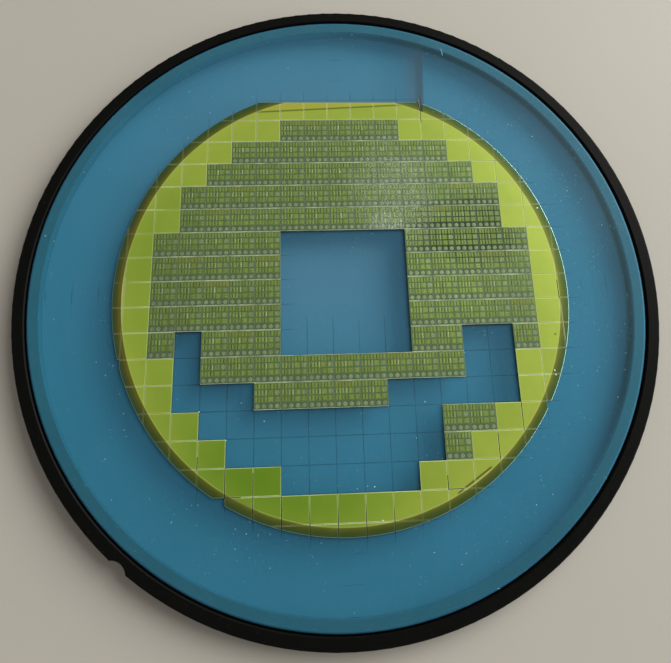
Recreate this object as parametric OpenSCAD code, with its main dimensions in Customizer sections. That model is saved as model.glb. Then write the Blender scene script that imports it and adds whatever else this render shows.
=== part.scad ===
// A diced silicon wafer on dicing tape, stretched over a two-piece grip ring.
// The tape is drawn tight like a drumhead over the inner ring, folds down over its edge,
// and is clamped between the bead of the inner ring and the groove of the outer ring.
// The dies lie on the tape row by row, with the saw kerf open between them.
// The origin is on the underside, at the centre of the rings. +Y points to the wafer's flat.

/* [Grip rings] */
// Height of both rings, with the tape
ring_h = 6; // [5.6:0.1:8]
// Diameter of the opening through the inner ring, at its top
ring_bore = 196; // [190:0.5:200]
// Width of the inner ring above its bead
hoop_w = 3.75; // [3.4:0.05:5]
// Rounding of the inner ring's top edge, which the tape folds over
fold_r = 0.8; // [0.4:0.1:1.2]
// Height of the straight part of the opening, under the tape
bore_land = 2; // [1:0.5:4]
// How much further the opening's tapered lead-in reaches at the foot
bore_lead = 1.2; // [0.4:0.1:1.5]
// How far the inner ring's bead stands out
bead_out = 0.5; // [0.3:0.05:0.8]
// Height of the bead's middle above the underside
bead_z = 2; // [1.8:0.1:2.4]
// Height of the bead's straight part
bead_land = 1.2; // [0.8:0.1:1.4]
// Height of each slope that leads on to the bead
bead_slope = 0.6; // [0.5:0.1:0.8]
// Height of the outer ring's straight lip above the bead
lip_land = 0.3; // [0.2:0.1:0.6]
// Width of the open slot round the tape's fold
slot_w = 0.4; // [0.3:0.05:1]
// Width of the outer ring outside that slot
rail_w = 4.01; // [3.5:0.01:6]
// Chamfer on the inner top edge of the outer ring
rim_chamfer = 0.35; // [0.2:0.05:1]
// Rounding of the outer top edge of the outer ring
rim_r = 0.5; // [0.2:0.1:0.8]
// Chamfer at the outer foot of the outer ring
foot_chamfer = 0.4; // [0.2:0.1:0.8]
// Radius of the locating notch in the outer ring
notch_r = 4.6; // [3:0.1:6]
// Depth of the locating notch
notch_depth = 1.5; // [0.8:0.1:2]
// Direction of the locating notch, turned from +X
notch_angle = 230.5; // [200:0.5:260]

/* [Dicing tape] */
// Thickness of the tape
tape_t = 0.15; // [0.08:0.01:0.2]
// Clearance between the tape's skirt and each ring
tape_gap = 0.02; // [0.01:0.01:0.05]
// Height of the tape's trimmed edge above the underside
tape_foot = 0.5; // [0.2:0.1:0.7]

/* [Wafer] */
// Diameter of the wafer
wafer_d = 150; // [146:0.5:156]
// Thickness of the wafer
wafer_t = 0.675; // [0.4:0.005:0.8]
// Length of the wafer's flat
flat_len = 57.5; // [55:0.5:60]
// Turn of the flat against the saw lines
flat_turn = -0.5; // [-1:0.1:1]
// Bevel round both edges of the wafer
edge_bevel = 0.2; // [0.1:0.05:0.25]
// Wafer centre from the ring centre along X
wafer_x = 0.4; // [-3:0.1:3]
// Wafer centre from the ring centre along Y
wafer_y = -1.6; // [-3:0.1:3]

/* [Dies] */
// Die pitch along X
pitch_x = 8.41; // [8.2:0.01:8.6]
// Die pitch along Y
pitch_y = 8.32; // [8.2:0.01:8.6]
// Middle of the centre die from the wafer centre along X
grid_x = 0.26; // [-1:0.01:1]
// Middle of the centre die from the wafer centre along Y
grid_y = -0.24; // [-1:0.01:1]
// Width of the saw kerf
kerf = 0.1; // [0.04:0.01:0.2]
// Smallest reach of a rim piece that stays on the tape
sliver = 0.8; // [0.4:0.1:1.5]
// Width of the chip broken out beside the flat
chip_w = 0.8; // [0.4:0.1:1.2]
// Length of that chip along the saw line
chip_len = 4; // [2:0.5:6]

/* [Circuit] */
// Plain street round the circuit of a die
street = 0.25; // [0.15:0.05:0.5]
// Gap between the blocks of a circuit
block_gap = 0.3; // [0.2:0.05:0.5]
// Height of the blocks above the die
relief = 0.02; // [0.01:0.01:0.05]

/* [Hidden] */
$fn = 180;
bore_r = ring_bore / 2;
hoop_r = bore_r + hoop_w;
hoop_h = ring_h - tape_t;
clamp_off = tape_t + 2 * tape_gap;
bead_top = bead_z + bead_land / 2 + bead_slope;
bead_foot = bead_z - bead_land / 2 - bead_slope;
lip_z = bead_top + lip_land;
slot_r = hoop_r + clamp_off + slot_w;
ring_r = slot_r + rail_w;
wafer_r = wafer_d / 2;
flat_y = sqrt(wafer_r * wafer_r - flat_len * flat_len / 4);
die_w = pitch_x - kerf;
die_h = pitch_y - kerf;
// Depth that the circuit's blocks reach into the die, and what a cut runs past a face
root = wafer_t / 4;
through = 1;

// The wafer map, seen from above with the flat at the top: o is a blank die, # a die with
// a circuit, and a dot a die that has been picked off or a sliver that has come away.
WAFER_MAP = [
    "ooooooooooooooooooo",
    "ooooooo#####ooooooo",
    "ooooo#########ooooo",
    "oooo###########oooo",
    "ooo#############ooo",
    "ooo#############ooo",
    "oo#####.....#####oo",
    "oo#####.....#####oo",
    "oo#####.....#####oo",
    "oo#####.....#####oo",
    "oo#.###.....##..#oo",
    "ooo.##########..ooo",
    "ooo...#####.....ooo",
    "oooo.........##oo.o",
    "ooooo........#ooooo",
    "ooooooo.....ooooooo",
    "oooo.oooooooooooooo",
    "ooooooooooooooooooo"];
MID_ROW = floor((len(WAFER_MAP) - 1) / 2);
MID_COL = floor(len(WAFER_MAP[0]) / 2);

// Raised blocks of a circuit: a line of equal letters is one block
BLOCK_MAP = ["aaaa", "bbbc", "dddd", "eeff"];

// Columns and rows count from the centre die, to the right and towards the flat.
last_col = ceil(wafer_r / min(pitch_x, pitch_y)) + 1;
COLS = [-last_col : last_col];
ROWS = [for (row = [last_col : -1 : -last_col]) if (len(row_cells(row)) > 0) row];
CIRCUIT_ROWS = [for (row = ROWS) if (len(circuit_cells(row)) > 0) row];
BLANK_ROWS = [for (row = ROWS) if (len(blank_cells(row)) > 0) row];

function cell_x(col) = grid_x + col * pitch_x;
function cell_y(row) = grid_y + row * pitch_y;
function near(middle, size) = max(abs(middle) - size / 2, 0);
function far(middle, size) = abs(middle) + size / 2;

// A cell is on the wafer where its corner nearest the centre lies far enough inside the edge,
// and whole where its furthest corner does.
function on_wafer(col, row) =
    norm([near(cell_x(col), die_w), near(cell_y(row), die_h)]) < wafer_r - sliver
    && cell_y(row) - die_h / 2 < flat_y - sliver;
function is_whole(col, row) =
    norm([far(cell_x(col), die_w), far(cell_y(row), die_h)]) < wafer_r - edge_bevel
    && cell_y(row) + die_h / 2 < flat_y - edge_bevel;

// A cell beyond the map is blank.
function on_map(col, row) = abs(col) <= MID_COL && row <= MID_ROW && MID_ROW - row < len(WAFER_MAP);
function mark(col, row) = on_map(col, row) ? WAFER_MAP[MID_ROW - row][col + MID_COL] : "o";
function has_circuit(col, row) = mark(col, row) == "#" && is_whole(col, row);

function row_cells(row) = [for (col = COLS) if (on_wafer(col, row) && mark(col, row) != ".") col];
function circuit_cells(row) = [for (col = row_cells(row)) if (has_circuit(col, row)) col];
function blank_cells(row) = [for (col = row_cells(row)) if (!has_circuit(col, row)) col];

// Rows are numbered from the flat.
function row_name(kind, row) =
    let (number = MID_ROW - row + 1)
    str(kind, "_dies_row_", number < 10 ? "0" : "", number);

// Outside wall of the inner ring with its bead, moved out by off, from the top down
function clamp_wall(off, top_z, foot_z) =
    let (out = hoop_r + off)
    [[out, top_z],
     [out, bead_top],
     [out + bead_out, bead_top - bead_slope],
     [out + bead_out, bead_foot + bead_slope],
     [out, bead_foot],
     [out, foot_z]];
function turned_back(points) = [for (i = [len(points) - 1 : -1 : 0]) points[i]];

// What a rounding of radius r takes off a top corner, with the centre of the round at the origin
module corner_trim(r) {
    difference() {
        square(r + through);
        circle(r, $fn = 48);
    }
}

// Outer ring: groove inside, an open slot round the fold, a chamfered rim and a flat top
module outer_ring_section() {
    difference() {
        polygon(concat(
            turned_back(clamp_wall(clamp_off, lip_z, 0)),
            [[slot_r, lip_z + slot_w],
             [slot_r, ring_h - rim_chamfer],
             [slot_r + rim_chamfer, ring_h],
             [ring_r, ring_h],
             [ring_r, foot_chamfer],
             [ring_r - foot_chamfer, 0]]));
        translate([ring_r - rim_r, ring_h - rim_r]) corner_trim(rim_r);
    }
}

module outer_ring() {
    color([0.09, 0.09, 0.085])
    difference() {
        rotate_extrude() outer_ring_section();
        rotate([0, 0, notch_angle])
            translate([ring_r + notch_r - notch_depth, 0, -through])
                cylinder(r = notch_r, h = ring_h + 2 * through, $fn = 64);
    }
}

// Inner ring: a bore that widens to its foot, and a rounded top edge under the tape's fold
module inner_ring_section() {
    difference() {
        polygon(concat(
            [[bore_r, hoop_h - bore_land], [bore_r, hoop_h]],
            clamp_wall(0, hoop_h, 0),
            [[bore_r + bore_lead, 0]]));
        translate([hoop_r - fold_r, hoop_h - fold_r]) corner_trim(fold_r);
    }
}

module inner_ring() {
    color([0.72, 0.76, 0.76])
    rotate_extrude() inner_ring_section();
}

// Tape: a drumhead, a round fold and a skirt that follows the bead down between the rings
module tape_section() {
    fold_x = hoop_r + tape_gap - fold_r;
    fold_z = hoop_h - fold_r;
    translate([0, hoop_h]) square([fold_x, tape_t]);
    translate([fold_x, fold_z]) difference() {
        square(fold_r + tape_t);
        corner_trim(fold_r + tape_t);
        circle(fold_r, $fn = 48);
    }
    polygon(concat(
        clamp_wall(tape_gap, fold_z, tape_foot),
        turned_back(clamp_wall(tape_gap + tape_t, fold_z, tape_foot))));
}

module dicing_tape() {
    color([0.25, 0.48, 0.62])
    rotate_extrude() tape_section();
}

module on_tape() {
    translate([wafer_x, wafer_y, ring_h]) children();
}

// The whole wafer before sawing: a bevelled disc with a bevelled flat
module wafer_disc() {
    intersection() {
        rotate_extrude() polygon(bevelled(0, wafer_r));
        rotate([90, 0, 90 + flat_turn])
            linear_extrude(wafer_d + through, center = true) polygon(bevelled(-wafer_r - through, flat_y));
    }
}

function bevelled(start, end) =
    [[start, 0], [end - edge_bevel, 0], [end, edge_bevel],
     [end, wafer_t - edge_bevel], [end - edge_bevel, wafer_t], [start, wafer_t]];

module die_block(col, row) {
    translate([cell_x(col) - die_w / 2, cell_y(row) - die_h / 2, 0]) cube([die_w, die_h, wafer_t]);
}

// Wedge that has broken out of the rim, on the left of the saw line nearest the end of the flat
module rim_chip() {
    line = round((flat_len / 2 - grid_x) / pitch_x + 0.5);
    edge_x = cell_x(line) - die_w / 2 - kerf;
    translate([edge_x, flat_y, -through])
        linear_extrude(wafer_t + 2 * through)
            polygon([[-chip_w, 0], [through, 0], [through, -chip_len], [0, -chip_len]]);
}

module blank_dies(row) {
    color([0.62, 0.72, 0.24])
    on_tape() difference() {
        intersection() {
            wafer_disc();
            for (col = blank_cells(row)) die_block(col, row);
        }
        if (row == MID_ROW) rim_chip();
    }
}

// Cells from this one on that belong to its block, and whether the block starts here
function run(line, cell) = line[cell + 1] == line[cell] ? 1 + run(line, cell + 1) : 1;
function starts(line, cell) = cell == 0 || line[cell] != line[cell - 1];

module circuit_blocks() {
    step_x = (die_w - 2 * street + block_gap) / len(BLOCK_MAP[0]);
    step_y = (die_h - 2 * street + block_gap) / len(BLOCK_MAP);
    for (strip = [0 : len(BLOCK_MAP) - 1], cell = [0 : len(BLOCK_MAP[strip]) - 1])
        if (starts(BLOCK_MAP[strip], cell))
            translate([
                street - die_w / 2 + cell * step_x,
                die_h / 2 - street - (strip + 1) * step_y + block_gap,
                wafer_t - root])
                cube([run(BLOCK_MAP[strip], cell) * step_x - block_gap, step_y - block_gap, root + relief]);
}

module circuit_dies(row) {
    color([0.37, 0.51, 0.22])
    on_tape() for (col = circuit_cells(row)) {
        die_block(col, row);
        translate([cell_x(col), cell_y(row), 0]) circuit_blocks();
    }
}

outer_ring();
inner_ring();
dicing_tape();
for (row = CIRCUIT_ROWS) circuit_dies(row);
for (row = BLANK_ROWS) blank_dies(row);
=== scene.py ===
"""A diced silicon wafer on blue dicing tape, held by a two-piece grip ring.

The rings, the tape and the dies come from the packed model. This file gives each of them its
finish, adds the metal layer of the circuits and the dust of the saw, and sets the stage.
"""

import math
import random

import bpy
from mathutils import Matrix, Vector


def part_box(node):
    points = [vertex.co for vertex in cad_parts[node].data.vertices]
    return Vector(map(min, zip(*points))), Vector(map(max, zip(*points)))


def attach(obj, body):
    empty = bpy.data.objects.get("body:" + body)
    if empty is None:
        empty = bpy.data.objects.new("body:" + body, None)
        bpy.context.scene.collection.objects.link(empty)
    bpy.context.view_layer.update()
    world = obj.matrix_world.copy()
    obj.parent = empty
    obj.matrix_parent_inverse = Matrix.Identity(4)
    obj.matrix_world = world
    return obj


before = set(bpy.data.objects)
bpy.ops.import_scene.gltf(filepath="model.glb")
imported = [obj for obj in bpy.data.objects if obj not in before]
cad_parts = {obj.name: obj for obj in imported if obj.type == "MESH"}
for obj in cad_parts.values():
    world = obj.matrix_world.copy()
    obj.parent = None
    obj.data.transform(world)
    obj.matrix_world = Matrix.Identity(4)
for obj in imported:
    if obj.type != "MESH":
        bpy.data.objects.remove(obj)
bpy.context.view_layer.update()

bl_info = {
    "name": "Diced Wafer",
    "version": (1, 0, 0),
    "blender": (4, 5, 0),
    "location": "View3D > Sidebar > Wafer",
    "description": "Finishes a diced wafer on its grip ring and sets the stage for it",
    "category": "Object",
}

MM = 0.001
BODY = "root"


# ---------------------------------------------------------------- places, from the frame

def node_names(kind):
    """The names of all nodes of one kind, from the flat down."""
    return sorted(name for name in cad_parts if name.startswith(kind))


BLANK_ROWS = node_names("blank_dies")
CIRCUIT_ROWS = node_names("circuit_dies")


def corners(names):
    """Lowest and highest corner of several nodes together."""
    boxes = [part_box(name) for name in names]
    low = Vector([min(box[0][axis] for box in boxes) for axis in range(3)])
    high = Vector([max(box[1][axis] for box in boxes) for axis in range(3)])
    return low, high


def die_sides(name):
    """Left and right side of each die in a row of circuits, from the foot of its mesh."""
    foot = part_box(name)[0].z
    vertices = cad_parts[name].data.vertices
    sides = sorted({round(v.co.x, 7) for v in vertices if v.co.z < foot + MM * 0.01})
    return list(zip(sides[::2], sides[1::2]))


BLANK_LOW, BLANK_HIGH = corners(BLANK_ROWS)
CIRCUIT_TOP = corners(CIRCUIT_ROWS)[1].z
TAPE_TOP = BLANK_LOW.z
WAFER_TOP = BLANK_HIGH.z
WAFER_R = (BLANK_HIGH.x - BLANK_LOW.x) / 2
WAFER_X = (BLANK_HIGH.x + BLANK_LOW.x) / 2
WAFER_Y = BLANK_LOW.y + WAFER_R
FLAT_Y = BLANK_HIGH.y - WAFER_Y

DIE_SIDES = {name: die_sides(name) for name in CIRCUIT_ROWS}
LONGEST = max(DIE_SIDES.values(), key=len)
DIE_W = LONGEST[0][1] - LONGEST[0][0]
PITCH_X = LONGEST[1][0] - LONGEST[0][0]
FIRST_FEET = [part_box(name)[0].y for name in CIRCUIT_ROWS[:2]]
PITCH_Y = FIRST_FEET[0] - FIRST_FEET[1]
DIE_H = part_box(CIRCUIT_ROWS[0])[1].y - FIRST_FEET[0]
KERF = PITCH_X - DIE_W
# Middle of one crossing of the saw lines
GRID_X = LONGEST[0][0] - KERF / 2
GRID_Y = FIRST_FEET[0] - KERF / 2

# The saw line just past the right end of the flat
FLAT_END = WAFER_X + math.sqrt(WAFER_R**2 - FLAT_Y**2)
CREASE_X = GRID_X + PITCH_X * math.ceil((FLAT_END - GRID_X) / PITCH_X)


# ---------------------------------------------------------------- materials

# Keys that keep the random numbers for different things apart
COLUMN_KEY = 3.5
ROW_KEY = 7.5
HUE_KEY = 5.5
GOLDEN_KEY = 2.5


class Value:
    """A number that varies over a surface: a socket, with Python's operators as Math nodes."""

    def __init__(self, finish, socket):
        self.finish = finish
        self.socket = socket

    def maths(self, operation, *others):
        """What a Math node makes of this number and others."""
        return self.finish.value("ShaderNodeMath", {"operation": operation}, [self, *others])

    def reflected(self, operation, other):
        """The same, with the other number first."""
        return self.finish.value("ShaderNodeMath", {"operation": operation}, [other, self])

    def __add__(self, other):
        return self.maths("ADD", other)

    def __sub__(self, other):
        return self.maths("SUBTRACT", other)

    def __rsub__(self, other):
        return self.reflected("SUBTRACT", other)

    def __mul__(self, other):
        return self.maths("MULTIPLY", other)

    def __truediv__(self, other):
        return self.maths("DIVIDE", other)

    def __rtruediv__(self, other):
        return self.reflected("DIVIDE", other)

    def __gt__(self, other):
        return self.maths("GREATER_THAN", other)

    def __lt__(self, other):
        return self.maths("LESS_THAN", other)

    def __abs__(self):
        return self.maths("ABSOLUTE")

    __radd__ = __add__
    __rmul__ = __mul__

    def at_least(self, other):
        """The larger of this number and another."""
        return self.maths("MAXIMUM", other)

    def at_most(self, other):
        """The smaller of this number and another."""
        return self.maths("MINIMUM", other)

    def swing(self, amount):
        """A number from 0 to 1, spread evenly about zero over this amount."""
        return (self - 0.5) * amount


class Finish:
    """One material in the making. Lengths in it are in millimetres."""

    def __init__(self, name):
        self.material = bpy.data.materials.new(name)
        self.material.use_nodes = True
        self.tree = self.material.node_tree
        self.tree.nodes.clear()
        texture = self.add("ShaderNodeTexCoord", {}, [])
        self.place = self.add(
            "ShaderNodeVectorMath", {"operation": "SCALE"}, {0: texture.outputs["Object"], "Scale": 1 / MM}
        ).outputs[0]
        self.x, self.y, self.z = self.split(self.place)

    def add(self, kind, settings, sockets):
        """Adds a node, makes its settings, then gives its sockets their values or links."""
        node = self.tree.nodes.new(kind)
        for key, setting in settings.items():
            if key == "stops":
                self.set_stops(node.color_ramp, setting)
            else:
                setattr(node, key, setting)
        pairs = sockets.items() if isinstance(sockets, dict) else enumerate(sockets)
        for key, value in pairs:
            socket = node.inputs[key]
            if isinstance(value, Value):
                value = value.socket
            if isinstance(value, bpy.types.NodeSocket):
                self.tree.links.new(value, socket)
            elif hasattr(socket.default_value, "__len__") and len(socket.default_value) == 4:
                socket.default_value = (*value[:3], 1)
            else:
                socket.default_value = value
        return node

    @staticmethod
    def set_stops(ramp, stops):
        """Gives a colour ramp its stops, as pairs of a position and a colour."""
        while len(ramp.elements) < len(stops):
            ramp.elements.new(1)
        for element, (position, tone) in zip(ramp.elements, stops):
            element.position = position
            element.color = (*tone[:3], 1)

    def value(self, kind, settings, sockets):
        """A node's first output, as a number for maths."""
        return Value(self, self.add(kind, settings, sockets).outputs[0])

    def split(self, vector):
        """The three parts of a vector."""
        node = self.add("ShaderNodeSeparateXYZ", {}, [vector])
        return [Value(self, socket) for socket in node.outputs]

    def join(self, x, y, z):
        """A vector from its three parts."""
        return self.add("ShaderNodeCombineXYZ", {}, [x, y, z]).outputs[0]

    def distance(self, x, y):
        """How far from zero a point lies."""
        return (x * x + y * y).maths("SQRT")

    def ramp(self, value, low, high):
        """0 where the value is at low, 1 where it is at high, and smooth between them."""
        settings = {"interpolation_type": "SMOOTHSTEP"}
        return self.value("ShaderNodeMapRange", settings, [value, low, high])

    def stripe(self, value, middle, width, blur):
        """1 where the value is within half a width of the middle, fading out over the blur."""
        return self.ramp(abs(value - middle), width / 2 + blur, width / 2)

    def noise(self, size, detail=2.0, roughness=0.5, place=None):
        """Noise with features of about one size."""
        place = place or self.place
        sockets = {"Vector": place, "Scale": 1 / size, "Detail": detail, "Roughness": roughness}
        return self.value("ShaderNodeTexNoise", {}, sockets)

    def chance(self, *keys):
        """A random number from 0 to 1 for each set of two or three keys."""
        place = self.join(*[*keys, 0.5][:3])
        return self.value("ShaderNodeTexWhiteNoise", {"noise_dimensions": "3D"}, [place])

    def mix(self, factor, first, second, blend="MIX"):
        """A colour between two others, or a blend of them."""
        settings = {"data_type": "RGBA", "blend_type": blend}
        return self.add("ShaderNodeMix", settings, {0: factor, 6: first, 7: second}).outputs[2]

    def over(self, base, *marks):
        """A colour with marks laid over it in turn, each with its strength and its colour."""
        for strength, tone in marks:
            base = self.mix(strength, base, tone)
        return base

    def shade(self, base, value):
        """A colour made darker or lighter by a number."""
        grey = self.join(value, value, value)
        return self.mix(1.0, base, grey, "MULTIPLY")

    def bump(self, height, distance):
        """Normal from a height, in shares of a distance in millimetres."""
        sockets = {"Height": height, "Distance": distance * MM, "Strength": 1.0}
        return self.add("ShaderNodeBump", {}, sockets).outputs[0]

    def principled(self, **sockets):
        """A Principled shader, whose sockets are named as keywords."""
        named = {key.replace("_", " ").title().replace("Ior", "IOR"): value for key, value in sockets.items()}
        return self.add("ShaderNodeBsdfPrincipled", {}, named).outputs[0]

    def mix_shaders(self, factor, first, second):
        """A shader between two others."""
        return self.add("ShaderNodeMixShader", {}, [factor, first, second]).outputs[0]

    def done(self, surface):
        """The material, with this shader as its surface."""
        self.add("ShaderNodeOutputMaterial", {}, {"Surface": surface})
        return self.material


class WaferFinish(Finish):
    """A material that also knows its place on the wafer and in the grid of dies."""

    def __init__(self, name):
        super().__init__(name)
        self.wafer_x = self.x - WAFER_X / MM
        self.wafer_y = self.y - WAFER_Y / MM
        self.radius = self.distance(self.wafer_x, self.wafer_y)
        self.cell_x = (self.x - GRID_X / MM) / (PITCH_X / MM)
        self.cell_y = (self.y - GRID_Y / MM) / (PITCH_Y / MM)
        self.column = self.cell_x.maths("FLOOR")
        self.row = self.cell_y.maths("FLOOR")
        # Distances from the nearest saw line, across it
        self.from_column_line = self.to_line(self.cell_x, PITCH_X)
        self.from_row_line = self.to_line(self.cell_y, PITCH_Y)
        # Place in the die from its lower left corner
        self.die_x = (self.cell_x - self.column) * (PITCH_X / MM) - KERF / MM / 2
        self.die_y = (self.cell_y - self.row) * (PITCH_Y / MM) - KERF / MM / 2

    def edge(self, offset):
        """Half the length of the wafer's chord at this distance from its centre."""
        return (WAFER_R**2 / MM**2 - offset * offset).at_least(0).maths("SQRT")

    def to_line(self, cell, pitch):
        """Distance from the nearest whole number of cells."""
        return abs((cell + 0.5).maths("FRACT") - 0.5) * (pitch / MM)

    def mark(self, start, end, width, blur):
        """A straight mark from one point on the wafer to another, thin at both ends."""
        return self.line(start, end, width, blur)[1]

    def line(self, start, end, width, blur):
        """Distance across the line through two points, and the mark along it between them."""
        start, end = Vector(start), Vector(end)
        reach = (end - start).length
        along = (end - start) / reach
        x = self.wafer_x - start.x
        y = self.wafer_y - start.y
        forward = (x * along.x + y * along.y) / reach
        across = y * along.x - x * along.y
        taper = self.ramp(forward, 0, 0.08) * self.ramp(forward, 1, 0.92)
        return across, self.stripe(across, 0, width, blur) * taper


def coat(obj, material):
    """Gives an object one material."""
    obj.data.materials.clear()
    obj.data.materials.append(material)


# ---------------------------------------------------------------- settings

def colour(name, description, default):
    """A setting for a colour."""
    return bpy.props.FloatVectorProperty(
        name=name, description=description, subtype="COLOR", size=3, min=0, max=1, default=default
    )


def length(name, description, millimetres):
    """A setting for a length."""
    return bpy.props.FloatProperty(
        name=name, description=description, unit="LENGTH", min=0, default=millimetres * MM
    )


def share(name, description, default):
    """A setting from 0 to 1."""
    return bpy.props.FloatProperty(
        name=name, description=description, subtype="FACTOR", min=0, max=1, default=default
    )


class RingSettings(bpy.types.PropertyGroup):
    """Finish of the two grip rings."""

    black: colour("Outer ring", "Colour of the outer ring", (0.0030, 0.0032, 0.0028))
    natural: colour("Inner ring", "Colour of the inner ring", (0.15, 0.22, 0.20))
    roughness: share("Roughness", "Roughness of the moulded rings", 0.5)


class TapeSettings(bpy.types.PropertyGroup):
    """Finish of the dicing tape."""

    blue: colour("Film", "Colour of the tape's film", (0.075, 0.27, 0.42))
    tint: colour("Tint", "Tint of what shows through the tape", (0.70, 0.89, 1.0))
    # Painted shade: the deeper tint of the tape on the side away from the light
    deep: colour("Deep tint", "Tint towards the side where the tape is stretched less", (0.51, 0.85, 0.97))
    opacity: share("Opacity", "How much of the film's own colour shows", 0.18)
    overrun: length("Saw overrun", "How far the saw cuts run on past the wafer", 6.0)


class FilmSettings(bpy.types.PropertyGroup):
    """Finish of the blank dies."""

    lime: colour("Film", "Colour of the film on the blank dies", (0.360, 0.458, 0.058))
    green: colour("Thin film", "Colour where the film is thinner", (0.138, 0.276, 0.011))
    gold: colour("Thick film", "Colour where the film is thicker", (0.42, 0.42, 0.05))
    ground: colour("Ground edge", "Colour of the polished bevel round the wafer", (0.44, 0.62, 0.55))
    silicon: colour("Sawn silicon", "Colour of the sawn walls of the dies", (0.115, 0.175, 0.095))
    exclusion: length("Edge band", "Width of the band without film along the round edge", 3.0)
    bevel: length("Bevel", "Height over which the bevel catches the light as if it were round", 0.35)
    chipping: length("Chipping", "Width of the chipped line beside each saw cut", 0.22)


class CircuitSettings(bpy.types.PropertyGroup):
    """Sizes and colours of the circuits."""

    field: colour("Field", "Colour of the blocks of a circuit", (0.152, 0.232, 0.052))
    street: colour("Street", "Colour of the streets between the blocks", (0.108, 0.168, 0.070))
    ground: colour("Pad ground", "Colour of the row that the pads stand in", (0.080, 0.118, 0.062))
    strip: colour("Strips", "Colour of the dark strips", (0.035, 0.060, 0.018))
    plate: colour("Plates", "Colour of the plain plates", (0.192, 0.266, 0.050))
    metal: colour("Metal", "Colour of the metal bars", (0.245, 0.330, 0.080))
    bright: colour("Bright metal", "Colour of the bar beside the large plate", (0.35, 0.42, 0.25))
    pad: colour("Pads", "Colour of the round pads", (0.225, 0.300, 0.160))
    golden: colour("Thick film", "Colour where the film over the blocks is thicker", (0.19, 0.20, 0.035))
    # The glints are painted highlights
    glint: colour("Glint", "Colour of the flecks that glint", (0.56, 0.63, 0.58))
    rise: length("Metal height", "Height of the metal above the blocks", 0.012)


class StageSettings(bpy.types.PropertyGroup):
    """Floor, light and camera."""

    floor: colour("Floor", "Colour of the floor", (0.46, 0.43, 0.385))
    sun: bpy.props.FloatProperty(
        name="Window light", description="Strength of the wide light from one side", min=0, default=3.16
    )
    lamp: bpy.props.FloatProperty(
        name="Near lamp", description="Power of the near lamp", unit="POWER", min=0, default=1.3
    )
    low_lamp: bpy.props.FloatProperty(
        name="Low lamp", description="Power of the low lamp at the side", unit="POWER", min=0, default=6.0
    )
    sky: share("Room light", "Strength of the light from all round", 0.285)


GROUPS = {
    "wafer_rings": RingSettings,
    "wafer_tape": TapeSettings,
    "wafer_film": FilmSettings,
    "wafer_circuit": CircuitSettings,
    "wafer_stage": StageSettings,
}


# ---------------------------------------------------------------- rings

DUST = (0.35, 0.34, 0.30)


def moulded_plastic(name, base, roughness, gloss, depth):
    """Satin moulded plastic, with faint turning marks, dust and handling marks."""
    finish = Finish(name)
    radius = finish.distance(finish.x, finish.y)
    angle = finish.y.maths("ARCTAN2", finish.x)
    around = finish.join(radius * 4, angle * 3, finish.z)
    streaks = finish.noise(1.0, detail=3, place=around)
    grain = finish.noise(0.25, detail=2)
    cloud = finish.noise(18, detail=3)
    dust = finish.ramp(finish.noise(0.45, detail=1), 0.70, 0.78)
    surface = finish.principled(
        base_color=finish.over(finish.shade(base, 0.8 + cloud * 0.4), (dust * 0.05, DUST)),
        roughness=roughness + streaks.swing(0.16) + cloud.swing(0.14) + dust * 0.2,
        specular_ior_level=gloss,
        subsurface_weight=depth,
        subsurface_scale=2 * MM,
        normal=finish.bump(grain * 0.6 + streaks * 0.4, 0.02),
    )
    return finish.done(surface)


class WAFER_OT_rings(bpy.types.Operator):
    """Finish the outer and the inner grip ring"""

    bl_idname = "wafer.rings"
    bl_label = "Grip Rings"

    def execute(self, context):
        settings = context.scene.wafer_rings
        rough = settings.roughness
        black = moulded_plastic("Black plastic", settings.black, rough, gloss=0.05, depth=0)
        natural = moulded_plastic("Natural plastic", settings.natural, rough, gloss=0.2, depth=0.5)
        coat(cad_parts["outer_ring"], black)
        coat(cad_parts["inner_ring"], natural)
        return {"FINISHED"}


# ---------------------------------------------------------------- tape

def widest_gap(row):
    """The left and the right side of the widest gap between the dies of a row."""
    sides = DIE_SIDES[row]
    gaps = [(before[1], after[0]) for before, after in zip(sides, sides[1:])]
    return max(gaps, key=lambda gap: gap[1] - gap[0], default=(0, 0))


def window_sides():
    """Left, right and foot of the picked window in the wafer's middle, without its lowest row."""
    gaps = {row: widest_gap(row) for row in CIRCUIT_ROWS}
    rows = [row for row, (left, right) in gaps.items() if right - left > PITCH_X]
    return [side / MM for side in (*gaps[rows[0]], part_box(rows[-2])[0].y)]


# Width of a saw cut in the tape, and how far a cut fades out into the picked window
CUT = 0.14
FADE = 7


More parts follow.
